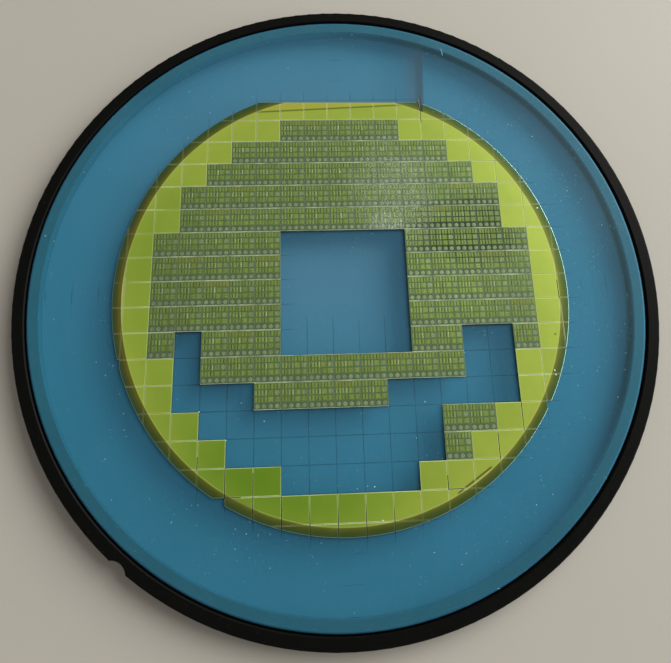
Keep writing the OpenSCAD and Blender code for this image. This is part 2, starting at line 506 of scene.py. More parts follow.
def saw_lines(finish, overrun):
    """How strongly the saw's cuts show in the tape: past the wafer's edge and where dies are gone."""
    wander = finish.noise(6, detail=1).swing(0.25)
    column_line = finish.stripe(abs(finish.from_column_line + wander), 0, CUT, CUT)
    row_line = finish.stripe(abs(finish.from_row_line + wander), 0, CUT, CUT)
    # Each cut runs on past the wafer by a length of its own
    column_reach = overrun * (0.5 + finish.chance((finish.cell_x + 0.5).maths("FLOOR"), COLUMN_KEY))
    row_reach = overrun * (0.6 + finish.chance((finish.cell_y + 0.5).maths("FLOOR"), ROW_KEY) * 1.1)
    edge_y = finish.edge(finish.wafer_x)
    past_top = (finish.wafer_y - edge_y.at_most(FLAT_Y / MM)) / column_reach
    past_foot = (abs(finish.wafer_y) - edge_y) / column_reach * 1.4
    past_side = (abs(finish.wafer_x) - finish.edge(finish.wafer_y)) / row_reach
    above = finish.wafer_y > 0
    past_end = above * past_top + (1 - above) * past_foot
    columns = column_line * finish.ramp(past_end, 1, 0)
    shown = finish.ramp(finish.wafer_x, -90, 60).at_least(finish.radius < 70)
    rows = row_line * finish.ramp(past_side, 1, 0) * shown
    # In the window they fade out upwards and to the right
    left, right, low = window_sides()
    beside = abs(finish.x - (left + right) / 2)
    inside = finish.ramp(finish.y, low - 1, low - 0.5) * finish.ramp(beside, 22, 21)
    inside = inside * (finish.radius < WAFER_R / MM - 8)
    column_fade = 1 - inside * finish.ramp(finish.y, low, low + FADE)
    row_fade = 1 - inside * finish.ramp(finish.x, left, left + FADE)
    return (columns * column_fade).at_least(rows * row_fade)


def crease_marks(finish):
    """The crease that runs on from the chip in the flat, and what the chip left: painted shade along the
    crease, darkest at its core, painted shadow in the chip's notch, and the splinters.
    """
    # Distance across the crease, which leans a little from the saw line. Places along it are
    # heights above the middle of the rings.
    off = finish.x - CREASE_X / MM - (finish.y - 67) * 0.04
    soft = finish.noise(5, detail=2).swing(1.6)
    reach = finish.ramp(finish.y, 99, 80) * finish.ramp(finish.y, 58, 66)
    crease_shade = finish.ramp(off + soft, -9.5, -0.3) * finish.ramp(off + soft * 0.3, 2.0, 1.2) * reach
    core = finish.ramp(off, -1.9, -0.2) * finish.ramp(off, 1.9, 1.4) * reach * finish.ramp(finish.y, 96, 76)
    chip = finish.ramp(finish.y, 72, 67) * (finish.y > 60)
    notch_shadow = finish.stripe(off, 0.25, 0.55, 0.15) * chip
    splinters = finish.stripe(off, 0.85, 0.4, 0.15) * chip * (finish.y < 66.5)
    return crease_shade, core, notch_shadow, splinters


def hoop_shadow(finish):
    """Painted shadow: the dark band over the inner ring's inner edge, on the side towards the light, where
    the ring shades the table seen through the tape.
    """
    from_middle = finish.distance(finish.x, finish.y)
    band = finish.ramp(from_middle, 90, 96) * 0.4 + finish.stripe(from_middle, 96.4, 0.6, 1.6) * 0.6
    return band * finish.ramp(from_middle, 98.4, 97.4) * finish.ramp(finish.x + finish.y * 0.5, 30, 90)


# Lint and scratches on the open tape, as start and end from the wafer's middle
LINT = [
    ((39.4, 92.0), (39.75, 90.6)),
    ((39.7, 90.8), (39.9, 89.0)),
    ((41.9, -90.2), (43.7, -90.8)),
]

# Colours of the marks in the tape, among them the painted shade of the crease, the painted shadow of the
# inner ring and the painted shadow in the chip's notch
CREASE_SHADE = (0.055, 0.10, 0.155)
HOOP_SHADOW = (0.010, 0.070, 0.085)
CUT_BLUE = (0.002, 0.035, 0.07)
CREASE_CORE_SHADE = (0.022, 0.055, 0.085)
NOTCH_SHADOW = (0.003, 0.004, 0.001)
SPLINTERS = (0.26, 0.31, 0.18)
SPECKS = (0.35, 0.55, 0.62)
PITS = (0.01, 0.05, 0.09)
LINT_PALE = (0.45, 0.85, 0.95)
BLACK = (0.0, 0.0, 0.0)


def dicing_tape(settings):
    """Translucent blue film: what lies under it shows through, tinted and darkened, with painted shade
    towards the bottom, away from the light and at the inner ring.
    """
    finish = WaferFinish("Blue tape")
    lines = saw_lines(finish, settings.overrun / MM)
    cloud = finish.noise(30, detail=3)
    streaks = finish.noise(2.2, detail=3, place=finish.join(finish.x, finish.y * 0.06, finish.z))
    mottle = finish.noise(0.5, detail=2)
    speck_spots = finish.noise(0.6, detail=0)
    specks = finish.ramp(speck_spots, 0.77, 0.82) * finish.ramp(finish.noise(9), 0.42, 0.55)
    pits = finish.ramp(speck_spots, 0.185, 0.165)
    # Painted shade along the crease, and painted shadow in the chip's notch
    crease_shade, core, notch_shadow, splinters = crease_marks(finish)
    # Painted shadow of the inner ring on the side towards the light
    hoop_shade = hoop_shadow(finish)
    lint = 0
    for start, end in LINT:
        lint = finish.mark(start, end, 0.05, 0.10).at_least(lint)
    film = finish.over(
        finish.shade(settings.blue, 0.86 + cloud * 0.18 + streaks * 0.08 + mottle * 0.04),
        (crease_shade * 0.9, CREASE_SHADE),
        (hoop_shade * 0.9, HOOP_SHADOW),
        (lines * 0.85, CUT_BLUE),
        (core * 0.8, CREASE_CORE_SHADE),
        (notch_shadow, NOTCH_SHADOW),
        (splinters, SPLINTERS),
        (specks * 0.6, SPECKS),
        (pits * 0.6, PITS),
        (lint, LINT_PALE),
    )
    skin = finish.principled(
        base_color=film,
        roughness=0.44 + mottle.swing(0.1) + streaks.swing(0.1) + lines * 0.2,
        specular_ior_level=0.6,
        coat_weight=0.25,
        coat_roughness=0.4,
        normal=finish.bump(streaks * 0.3 + mottle * 0.15 - lines * 0.8 - notch_shadow, 0.03),
    )
    deep, tint, dark = [
        finish.add("ShaderNodeBsdfTransparent", {}, [passed]).outputs[0]
        for passed in (settings.deep, settings.tint, BLACK)
    ]
    # Painted light and shade: the tint is paler towards the light and deeper away from it, and what shows
    # through darkens towards the bottom and under the hoop's painted shadow
    lit = finish.ramp(finish.distance(finish.x + 5, finish.y - 35), 110, 20)
    painted_dimming = finish.ramp(finish.y, -15, -85) * 0.035 + hoop_shade * 0.11
    clear = finish.mix_shaders(lit, deep, tint)
    clear = finish.mix_shaders(painted_dimming, clear, dark)
    veil = cloud.swing(0.06) + lines * 0.11 + crease_shade * 0.14 + core * 0.10
    spots = notch_shadow + splinters * 0.85 + specks * 0.35 + lint * 0.4
    opacity = (settings.opacity + veil + spots).at_most(1)
    return finish.done(finish.mix_shaders(opacity, clear, skin))


class WAFER_OT_tape(bpy.types.Operator):
    """Finish the dicing tape"""

    bl_idname = "wafer.tape"
    bl_label = "Dicing Tape"

    def execute(self, context):
        coat(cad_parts["dicing_tape"], dicing_tape(context.scene.wafer_tape))
        return {"FINISHED"}


# ---------------------------------------------------------------- blank dies

def chipped_edges(finish, width):
    """1 beside the saw cuts, where the film has flaked off, with a ragged inner side."""
    ragged = (finish.noise(0.22, detail=3, roughness=0.7) - 0.35) * 2.0 * width
    reach = ragged + width * 0.45 + KERF / MM / 2
    columns = finish.ramp(finish.from_column_line - reach, 0.04, -0.02)
    rows = finish.ramp(finish.from_row_line - reach, 0.04, -0.02)
    return columns, rows


def side_faces(finish):
    """Where a face isn't the flat top, and where it is the ground bevel round the wafer."""
    normal = finish.add("ShaderNodeNewGeometry", {}, []).outputs["Normal"]
    upward = finish.split(normal)[2]
    aside = upward < 0.9
    bevel = aside * (upward > 0.4)
    return aside, bevel


# Marks of the clamp along the round edge, as start and end from the wafer's middle
CLAMP_MARKS = [
    ((32.2, -64.6), (44.2, -56.7)),
    ((-40.5, -60.6), (-27.0, -67.6)),
]

# Saw cuts that stand open, painted dark as the shade in the gap, as start and end from the wafer's middle
OPEN_CUTS = [
    ((54.9, -37.4), (54.9, -46.6)),
    ((46.5, -46.4), (46.5, -55.0)),
    ((29.7, -58.5), (29.7, -62.9)),
    ((29.4, -62.64), (34.6, -62.64)),
    ((-20.75, -62.2), (-20.75, -72.5)),
    ((-29.2, -55.6), (-29.2, -62.9)),
    ((-29.2, -61.0), (-29.2, -67.6)),
    ((-37.6, -54.0), (-37.6, -62.9)),
    ((-46.0, -50.6), (-46.0, -54.6)),
    ((-38.0, -62.64), (-32.6, -62.64)),
    ((29.7, 66.6), (29.7, 60.6)),
    ((71.62, 2.0), (71.62, -5.0)),
]

# Small stains on the film, as place, outer radius and radius of the core, strength and colour
STAINS = [
    ((28.2, 67.2), (1.1, 0.5), 0.6, (0.11, 0.08, 0.02)),
    ((68.7, -16.6), (0.5, 0.25), 0.7, (0.10, 0.11, 0.02)),
]


def film_tone(finish, settings):
    """The film: its colour follows its thickness, which changes over the wafer and in each die."""
    tone = finish.chance(finish.column, finish.row)
    hue = finish.chance(finish.column, finish.row, HUE_KEY)
    cloud = finish.noise(34, detail=2)
    fine = finish.noise(3.0, detail=3)
    # The film is thinnest at the foot and at one side, and thicker again at the wafer's edge
    from_foot = finish.distance(finish.wafer_x + 25, finish.wafer_y + 62)
    from_side = finish.distance(finish.wafer_x + 68, finish.wafer_y - 12)
    rim = finish.ramp(finish.radius, 66, 71.5)
    thin = 0.1 + finish.ramp(from_foot, 70, 0) * 0.85 + finish.ramp(from_side, 45, 0) * 0.4 - rim * 0.12
    thin = thin + cloud.swing(0.16) + hue.swing(0.10) + finish.noise(14, detail=1).swing(0.22)
    film = finish.mix(thin.at_least(0).at_most(1), settings.lime, settings.green)
    film = finish.shade(film, 0.97 + fine.swing(0.06) + tone.swing(0.06))
    for (x, y), (outer, core), strength, stain in STAINS:
        spot = finish.ramp(finish.distance(finish.wafer_x - x, finish.wafer_y - y), outer, core)
        film = finish.mix(spot * strength, film, stain)
    return film


# How strongly the bevel is rounded in the light
ROUNDNESS = 280

# Colours of the marks on the blank film; the chips along the rows are lighter by a painted highlight
FLAT_MARK = (0.13, 0.15, 0.012)
CLAMP_DARK = (0.085, 0.090, 0.010)
CLAMP_PALE = (0.55, 0.52, 0.17)
BAND_LINE = (0.50, 0.50, 0.18)
BAND_BROWN = (0.19, 0.14, 0.014)
BAND_VIOLET = (0.11, 0.08, 0.06)
WORN_BAND = (0.56, 0.52, 0.20)
CHIPPED_COLUMN = (0.52, 0.60, 0.28)
LIT_CHIPPED_ROW = (0.66, 0.74, 0.40)
WORN_CUT = (0.38, 0.42, 0.24)
LOW_BEVEL = (0.030, 0.055, 0.034)
OPEN_CUT_SHADE = (0.010, 0.014, 0.005)


def clamped(finish, film, settings):
    """The film with the marks of the clamp that held the wafer: one by the flat, two at the foot."""
    above, flat_mark = finish.line((-31, 65.4), (25, 68.0), 0.30, 0.35)
    gold = finish.ramp(above, 0.2, 0.8) * finish.ramp(finish.wafer_y, 62, 65)
    film = finish.over(film, (gold * 0.75, settings.gold), (flat_mark * 0.85, FLAT_MARK))
    for start, end in CLAMP_MARKS:
        across, reach = finish.line(start, end, 2.2, 0.3)
        dark = (finish.stripe(across, 0.35, 0.35, 0.25) + finish.stripe(across, -0.95, 0.25, 0.25)) * reach
        pale = finish.stripe(across, -0.33, 0.15, 0.25) * reach
        film = finish.over(film, (dark * 0.85, CLAMP_DARK), (pale * 0.8, CLAMP_PALE))
    return film


# The bare band inside the wafer's edge, from the film outwards
BAND = [
    (0.00, (0.26, 0.27, 0.050)),
    (0.07, (0.158, 0.180, 0.022)),
    (0.23, (0.120, 0.146, 0.018)),
    (0.42, (0.085, 0.118, 0.017)),
    (0.62, (0.062, 0.104, 0.022)),
    (0.81, (0.050, 0.104, 0.036)),
    (1.00, (0.038, 0.092, 0.046)),
]


def banded(finish, film, settings):
    """The film with a pale line and the bare band round it, and where that band is."""
    film_r = (WAFER_R - settings.exclusion) / MM
    wobble = finish.noise(7, detail=2).swing(0.2)
    out = finish.distance(finish.wafer_x, finish.wafer_y + 0.2) + wobble - film_r
    film = finish.mix(finish.stripe(out + 0.22, 0, 0.15, 0.15) * 0.35, film, BAND_LINE)
    across = out / (settings.exclusion / MM)
    bare = finish.add("ShaderNodeValToRGB", {"stops": BAND}, [across]).outputs[0]
    side = finish.ramp(finish.wafer_x, -55, -71)
    bare = finish.over(
        finish.shade(bare, 0.72 + finish.noise(4, detail=3) * 0.36),
        (finish.stripe(out, 0.7, 0.5, 0.4) * side * 0.55, BAND_BROWN),
        (finish.stripe(out, 1.7, 0.2, 0.3) * side * 0.5, BAND_VIOLET),
    )
    band = finish.ramp(out, -0.06, 0.06)
    worn = finish.ramp(finish.wafer_x, -71.5, -71.7) * finish.ramp(finish.wafer_y, -20, -8)
    return finish.over(film, (worn * 0.7, WORN_BAND), (band, bare)), band


def open_cuts(finish):
    """Where a saw cut stands open and is painted dark as the shade in the gap: all of them at the foot, and a
    few others.
    """
    at_foot = finish.ramp(finish.wafer_y, -63, -71) * finish.ramp(finish.wafer_x, 26, 8)
    cuts = finish.stripe(finish.from_column_line, 0, 0.18, 0.08) * at_foot
    for start, end in OPEN_CUTS:
        cuts = finish.mark(start, end, 0.18, 0.08).at_least(cuts)
    return cuts


def blank_film(settings):
    """A clear film whose colour follows its thickness, over polished silicon."""
    finish = WaferFinish("Blank film")
    fine = finish.noise(3.0, detail=3)
    film = clamped(finish, film_tone(finish, settings), settings)
    film, band = banded(finish, film, settings)
    columns, rows = chipped_edges(finish, settings.chipping / MM)
    along = finish.noise(11, detail=1)
    within = 1 - band * 0.65
    aside, bevel = side_faces(finish)
    polished = bevel * finish.ramp(finish.z, WAFER_TOP / MM - 0.20, WAFER_TOP / MM - 0.10)
    open_cut = open_cuts(finish)
    film = finish.over(
        film,
        (columns * (0.25 + along * 0.6) * within, CHIPPED_COLUMN),
        # chips along the rows, lighter by a painted highlight
        (rows * (along * 1.3 - 0.12) * within, LIT_CHIPPED_ROW),
        (finish.mark((71.85, -5.5), (71.85, -19.0), 0.12, 0.2) * 0.7, WORN_CUT),
        (aside, finish.shade(settings.silicon, 0.8 + fine * 0.4)),
        (bevel, LOW_BEVEL),
        (polished, settings.ground),
        # painted shade in the open saw cuts
        (open_cut * 0.95, OPEN_CUT_SHADE),
    )
    below = abs(finish.z - (WAFER_TOP / MM - settings.bevel / MM / 2))
    rounding = below * below * bevel * -ROUNDNESS
    chipped = columns.at_least(rows) * within
    rough = chipped.at_least(aside)
    surface = finish.principled(
        base_color=film,
        metallic=(0.30 - rough * 0.20).at_least(polished).at_least(band * 0.62 + open_cut),
        roughness=0.36 + rough * 0.2 + band * 0.12 - bevel * 0.22 + fine.swing(0.05),
        specular_ior_level=0.35,
        coat_weight=0.10 * (1 - rough) * (1 - band),
        coat_roughness=0.18,
        normal=finish.bump(chipped * -0.8 - open_cut + fine * 0.1 + rounding, 0.01),
    )
    return finish.done(surface)


class WAFER_OT_blank_dies(bpy.types.Operator):
    """Finish the blank dies round the circuits"""

    bl_idname = "wafer.blank_dies"
    bl_label = "Blank Dies"

    def execute(self, context):
        material = blank_film(context.scene.wafer_film)
        for name in BLANK_ROWS:
            coat(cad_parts[name], material)
        return {"FINISHED"}


# ---------------------------------------------------------------- circuits

# Number of cells in a circuit, along each side, and the plain margin round them
CELLS = 4
MARGIN = 0.1 * MM
CELL_W = (DIE_W - 2 * MARGIN) / CELLS
CELL_H = (DIE_H - 2 * MARGIN) / CELLS


def cells_across(finish):
    """Place in a circuit, counted in cells from its lower left corner."""
    across = (finish.die_x - MARGIN / MM) / (CELL_W / MM)
    up = (finish.die_y - MARGIN / MM) / (CELL_H / MM)
    return across, up


def painted_shade_and_glints(finish):
    """Painted shade and glints: where the circuits are painted dark between their blocks, and where they are
    painted to glint.
    """
    wander = finish.noise(10, detail=2).swing(16)
    from_dark = finish.distance(finish.wafer_x * 0.6 - 26.5, finish.wafer_y - 20) + wander
    dark = finish.ramp(from_dark, 17, 6)
    from_glint = finish.distance(finish.wafer_x - 18.5, finish.wafer_y * 0.8 - 27) + wander
    glint = finish.ramp(from_glint, 20, 5)
    spark = finish.ramp(finish.distance(finish.wafer_x - 15, finish.wafer_y * 1.6 - 35), 10, 2)
    flecks = finish.ramp(finish.noise(0.4, detail=1), 0.56, 0.66)
    lines = finish.stripe(finish.to_line(finish.cell_x * CELLS * 2, CELL_W / 2), 0, 0.4, 0.2)
    return dark, glint * (0.1 + flecks * (0.2 + lines)) + spark * lines * (0.3 + flecks)


def painted_brightness(finish):
    """Painted light and shade: how much lighter the circuits are painted over one part of the wafer, and how
    much darker at its sides.
    """
    pale = finish.ramp(finish.distance(finish.wafer_x * 0.9 - 29, finish.wafer_y - 8), 28, 8)
    return 1 + pale * 0.14 - finish.ramp(abs(finish.wafer_x), 40, 58) * 0.16


def golden(finish, up):
    """The top row of blocks on a few circuits, where the film over them is thicker."""
    return (finish.chance(finish.column, finish.row, GOLDEN_KEY) > 0.9) * (up > CELLS - 1)


def block_tone(finish):
    """A random number for each small block of each circuit, and fine upright streaks."""
    across, up = cells_across(finish)
    half = (across * 2).maths("FLOOR") + finish.column * CELLS * 2
    tone = finish.chance(half, up.maths("FLOOR") + finish.row * CELLS)
    upright = finish.join(finish.x * 3.4, finish.y * 0.34, finish.z)
    return tone, finish.noise(1.0, detail=2, roughness=0.7, place=upright)


# Width of the chipped line beside a saw cut that runs past a circuit
STREET_CHIPPING = 0.13

# Colours that all the layers of the circuits share, among them the painted shade of the streets, and those of
# the saw's chips beside them, lighter along the rows by a painted highlight
PAINTED_STREET_SHADE = (0.012, 0.030, 0.006)
VEIL = (0.155, 0.240, 0.120)
STREET_COLUMN = (0.25, 0.31, 0.19)
LIT_STREET_ROW = (0.68, 0.78, 0.54)


def circuit_field(settings, film):
    """The blocks of a circuit, and the streets between them."""
    finish = WaferFinish("Circuit field")
    tone, streaks = block_tone(finish)
    cloud = finish.noise(30, detail=2)
    fine = finish.noise(0.35, detail=3)
    across, up = cells_across(finish)
    # Painted shade and painted glints over parts of the wafer
    dark, glint = painted_shade_and_glints(finish)
    raised = finish.ramp(finish.z, (WAFER_TOP + CIRCUIT_TOP) / 2 / MM, CIRCUIT_TOP / MM - 0.004)
    upright = finish.stripe(finish.to_line(across, CELL_W), 0, 0.16, 0.16)
    level = finish.stripe(finish.to_line(up, CELL_H), 0, 0.16, 0.16)
    streets = upright.at_least(level).at_least(1 - raised)
    pad_row = finish.ramp(up, 1.06, 0.94)
    veil = finish.ramp(finish.noise(1.7, detail=3), 0.46, 0.64)
    shade = 0.94 + tone.swing(0.3) + streaks.swing(1.5) + cloud.swing(0.2) + fine.swing(0.7)
    # Painted light and shade over parts of the wafer brighten or darken the blocks
    field = finish.over(
        finish.shade(settings.field, shade * (1 - dark * 0.14) * painted_brightness(finish)),
        (pad_row, finish.shade(settings.ground, 0.7 + fine * 0.6)),
        (veil * 0.4, VEIL),
    )
    street = finish.shade(settings.street, 0.9 + fine.swing(0.9))
    # Painted shade: the streets darken over one part of the wafer
    street = finish.mix(dark * 0.9, street, PAINTED_STREET_SHADE)
    columns, rows = chipped_edges(finish, STREET_CHIPPING)
    along = finish.noise(5, detail=2)
    aside = side_faces(finish)[0]
    top = finish.over(
        field,
        (streets, street),
        (pad_row * dark * 0.6, PAINTED_STREET_SHADE),
        (golden(finish, up) * 0.3, settings.golden),
        (glint * 0.55, settings.glint),
        (columns * (0.2 + along * 0.5), STREET_COLUMN),
        # chips along the rows, lighter by a painted highlight
        (rows * (along * 1.9 - 0.25), LIT_STREET_ROW),
        (aside, finish.shade(film.silicon, 0.8 + fine * 0.4)),
    )
    chipped = columns.at_least(rows).at_least(aside)
    surface = finish.principled(
        base_color=top,
        metallic=0.30 - chipped * 0.2,
        roughness=0.42 + chipped * 0.2 + fine.swing(0.1),
        specular_ior_level=0.3,
        normal=finish.bump(fine * 0.5 - chipped, 0.01),
    )
    return finish.done(surface)


# Roughness and metallic share of the plates, and of the barer metal
SATIN = (0.4, 0.3)
SHINY = (0.36, 0.4)


def metal_layer(name, settings, base, roughness, metallic):
    """Patterned metal on a circuit, a little different from block to block."""
    finish = WaferFinish(name)
    tone, streaks = block_tone(finish)
    fine = finish.noise(0.3, detail=2)
    cloud = finish.noise(22, detail=2)
    # Painted shade and painted glints over parts of the wafer
    dark, glint = painted_shade_and_glints(finish)
    veil = finish.ramp(finish.noise(1.7, detail=3), 0.46, 0.64)
    shade = 0.07 + tone * 0.30 + streaks * 0.64 + fine * 0.80 + cloud * 0.14
    # Painted light and shade over parts of the wafer brighten or darken the metal
    metal = finish.over(
        finish.shade(base, shade * (1 - dark * 0.14) * painted_brightness(finish)),
        (veil * 0.35, VEIL),
        (golden(finish, cells_across(finish)[1]) * 0.3, settings.golden),
        (glint * 0.55, settings.glint),
    )
    surface = finish.principled(
        base_color=metal,
        metallic=metallic,
        roughness=roughness + fine.swing(0.12),
        specular_ior_level=0.3,
        normal=finish.bump(fine, 0.004),
    )
    return finish.done(surface)


def deselect_all():
    """Leaves edit mode, with nothing selected."""
    if bpy.context.object and bpy.context.object.mode != "OBJECT":
        bpy.ops.object.mode_set(mode="OBJECT")
    bpy.ops.object.select_all(action="DESELECT")


def start_piece(name):
    """An empty mesh object in edit mode, to which primitives are added."""
    deselect_all()
    bpy.ops.mesh.primitive_plane_add(size=MM)
    piece = bpy.context.object
    piece.name = name
    piece.data.name = name
    bpy.ops.object.mode_set(mode="EDIT")
    bpy.ops.mesh.select_all(action="SELECT")
    bpy.ops.mesh.delete(type="VERT")
    return piece


def raised_plate(x, y, width, depth, rise):
    """In edit mode: a low block with drawn-in sides, at a place on the die."""
    bpy.ops.mesh.primitive_plane_add(size=1, location=(x, y, 0))
    bpy.ops.transform.resize(value=(width, depth, 1), center_override=(x, y, 0))
    raise_top(x, y, 0, rise, draw_in=0.86)


def raise_top(x, y, z, rise, draw_in):
    """In edit mode: extrudes the selected faces upward and draws them in to a share of their size."""
    bpy.ops.mesh.extrude_region_move(TRANSFORM_OT_translate={"value": (0, 0, rise)})
    bpy.ops.transform.resize(value=(draw_in, draw_in, 1), center_override=(x, y, z + rise))


def round_pad(x, y, radius, rise):
    """In edit mode: a round pad with a domed top."""
    bpy.ops.mesh.primitive_circle_add(vertices=14, radius=radius, fill_type="NGON", location=(x, y, 0))
    shoulder = rise * 0.6
    raise_top(x, y, 0, shoulder, draw_in=0.88)
    raise_top(x, y, shoulder, rise - shoulder, draw_in=0.6)


def round_ring(x, y, radius, rise):
    """In edit mode: a raised ring with a sunk middle."""
    bpy.ops.mesh.primitive_circle_add(vertices=16, radius=radius, fill_type="NGON", location=(x, y, 0))
    raise_top(x, y, 0, rise, draw_in=0.94)
    bpy.ops.mesh.inset(thickness=radius * 0.34)
    bpy.ops.transform.translate(value=(0, 0, -rise * 0.7))


def cell_place(column, row, across, up):
    """A place in one cell of the die, in shares of the cell, from the die's lower left corner."""
    return MARGIN + (column + across) * CELL_W, MARGIN + (row + up) * CELL_H


def draw_plates(plates, rise):
    """In edit mode: plates from their column, row, place in the cell and size, in shares of it."""
    for column, row, across, up, width, depth in plates:
        x, y = cell_place(column, row, across, up)
        raised_plate(x, y, width * CELL_W, depth * CELL_H, rise)


def dark_strips():
    """Thin dark strips between the upright bars and plates."""
    return [(column, 3, 0.5, 0.48, 0.10, 0.74) for column in range(CELLS)] + [
        (column, row, 0.5, 0.5, 0.10, 0.74) for column in (0, 1) for row in (1, 2)
    ]


def upright_plates():
    """Pairs of plates, all along the top of the circuit and over half its third row."""
    return [(column, 3, across, 0.48, 0.24, 0.70) for column in range(CELLS) for across in (0.26, 0.74)] + [
        (column, 1, across, 0.5, 0.22, 0.66) for column in (0, 1) for across in (0.26, 0.74)
    ]


def square_plates():
    """The large plate of the second row and the smaller one of the third."""
    return [
        (2, 2, 0.5, 0.5, 0.68, 0.72),
        (2, 1, 0.5, 0.5, 0.56, 0.58),
    ]


def metal_bars():
    """Upright bars over half the second row, and level bars in a corner of the third."""
    return [
        (0, 2, 0.20, 0.5, 0.16, 0.82),
        (0, 2, 0.76, 0.5, 0.16, 0.82),
        (1, 2, 0.24, 0.5, 0.16, 0.82),
        (3, 1, 0.5, 0.70, 0.60, 0.16),
        (3, 1, 0.5, 0.36, 0.60, 0.16),
    ]


def bright_bars():
    """The wide bar beside the large plate."""
    return [(1, 2, 0.78, 0.5, 0.15, 0.88)]


def over_dies(template, name, material):
    """Sets copies of a template on every circuit die, and joins them to one piece."""
    bpy.ops.object.mode_set(mode="OBJECT")
    copies = []
    for row in CIRCUIT_ROWS:
        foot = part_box(row)[0].y
        for left, count in runs(DIE_SIDES[row]):
            deselect_all()
            template.select_set(True)
            bpy.context.view_layer.objects.active = template
            bpy.ops.object.duplicate(linked=False)
            copy = bpy.context.object
            copy.location = (left, foot, CIRCUIT_TOP)
            repeat = copy.modifiers.new("Dies", "ARRAY")
            repeat.use_relative_offset = False
            repeat.use_constant_offset = True
            repeat.constant_offset_displace = (PITCH_X, 0, 0)
            repeat.count = count
            bpy.ops.object.modifier_apply(modifier=repeat.name)
            copies.append(copy)
    deselect_all()
    for copy in copies:
        copy.select_set(True)
    bpy.context.view_layer.objects.active = copies[0]
    bpy.ops.object.join()
    bpy.data.objects.remove(template)
    finish_piece(bpy.context.object, name, material)


def finish_piece(piece, name, material):
    """Applies a piece's place, names it, and gives it its material and its body."""
    bpy.ops.object.transform_apply(location=True, rotation=True, scale=True)
    piece.name = name
    piece.data.name = name
    coat(piece, material)
    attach(piece, BODY)


def lay_plates(name, plates, rise, material):
    """A layer of plates, drawn once and set on every circuit die."""
    template = start_piece("template")
    draw_plates(plates, rise)
    over_dies(template, name, material)


def runs(sides):
    """Stretches of neighbouring dies in a row, as the left side of the first and their number."""
    stretches = []
    for left, right in sides:
        if stretches and left - last_right < PITCH_X / 2:
            stretches[-1][1] += 1
        else:
            stretches.append([left, 1])
        last_right = right
    return stretches


class WAFER_OT_circuit_dies(bpy.types.Operator):
    """Finish the dies that carry a circuit"""

    bl_idname = "wafer.circuit_dies"
    bl_label = "Circuit Dies"

    def execute(self, context):
        material = circuit_field(context.scene.wafer_circuit, context.scene.wafer_film)
        for name in CIRCUIT_ROWS:
            coat(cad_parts[name], material)
        return {"FINISHED"}


class WAFER_OT_strips(bpy.types.Operator):
    """Lay the dark strips of the circuits"""

    bl_idname = "wafer.strips"
    bl_label = "Dark Strips"

    def execute(self, context):
        settings = context.scene.wafer_circuit
        material = metal_layer("Dark strips", settings, settings.strip, *SATIN)
        lay_plates("circuit_strips", dark_strips(), settings.rise, material)
        return {"FINISHED"}


class WAFER_OT_plates(bpy.types.Operator):
    """Lay the plates of the circuits"""

    bl_idname = "wafer.plates"
    bl_label = "Plates"

    def execute(self, context):
        settings = context.scene.wafer_circuit
        material = metal_layer("Plates", settings, settings.plate, *SATIN)
        lay_plates("circuit_plates", upright_plates() + square_plates(), settings.rise * 0.7, material)
        return {"FINISHED"}


class WAFER_OT_bars(bpy.types.Operator):
    """Lay the metal bars of the circuits"""

    bl_idname = "wafer.bars"
    bl_label = "Metal Bars"

    def execute(self, context):
        settings = context.scene.wafer_circuit
        metal = metal_layer("Metal bars", settings, settings.metal, *SHINY)
        lay_plates("circuit_bars", metal_bars(), settings.rise, metal)
        bright = metal_layer("Bright bars", settings, settings.bright, *SHINY)
        lay_plates("circuit_bright_bars", bright_bars(), settings.rise, bright)
        return {"FINISHED"}


class WAFER_OT_pads(bpy.types.Operator):
    """Set the round pads and rings of the circuits"""

    bl_idname = "wafer.pads"
    bl_label = "Round Pads"

    def execute(self, context):
        settings = context.scene.wafer_circuit
        template = start_piece("template")
        for column in range(CELLS):
            round_pad(*cell_place(column, 0, 0.5, 0.48), CELL_W * 0.34, settings.rise)
        round_ring(*cell_place(3, 2, 0.5, 0.5), CELL_W * 0.36, settings.rise)
        over_dies(template, "circuit_pads", metal_layer("Pads", settings, settings.pad, *SHINY))
        return {"FINISHED"}


# ---------------------------------------------------------------- saw dust

def shards(name, places, material):
    """Small broken flakes, each a rough lump pressed flat."""
    piece = start_piece(name)
    chance = random.Random(11)
    for x, y, z, size in places:
        bpy.ops.mesh.primitive_ico_sphere_add(subdivisions=1, radius=size / 2, location=(x, y, z))
        bpy.ops.transform.vertex_random(offset=size * 0.16, seed=chance.randrange(10000))
        stretch = chance.uniform(0.45, 1.0)
        bpy.ops.transform.resize(value=(1, stretch, 0.3), center_override=(x, y, z))
        turn = chance.uniform(0, math.pi)
        bpy.ops.transform.rotate(value=turn, orient_axis="Z", center_override=(x, y, z))
    bpy.ops.object.mode_set(mode="OBJECT")
    finish_piece(piece, name, material)


# Radius within which dust lies on the open tape, and the sizes of its grains
DUST_R = 98 * MM
GRAINS = (0.12, 0.16, 0.2, 0.3)


def scattered(count, seed):
    """Places for dust on the tape round the wafer."""
    chance = random.Random(seed)
    places = []
    while len(places) < count:
        angle = chance.uniform(0, 2 * math.pi)
        radius = DUST_R * math.sqrt(chance.random())
        x, y = radius * math.cos(angle), radius * math.sin(angle)
        size = chance.choice(GRAINS) * MM
        if math.hypot(x - WAFER_X, y - WAFER_Y) > WAFER_R + MM:
            places.append((x, y, TAPE_TOP, size))
    return places


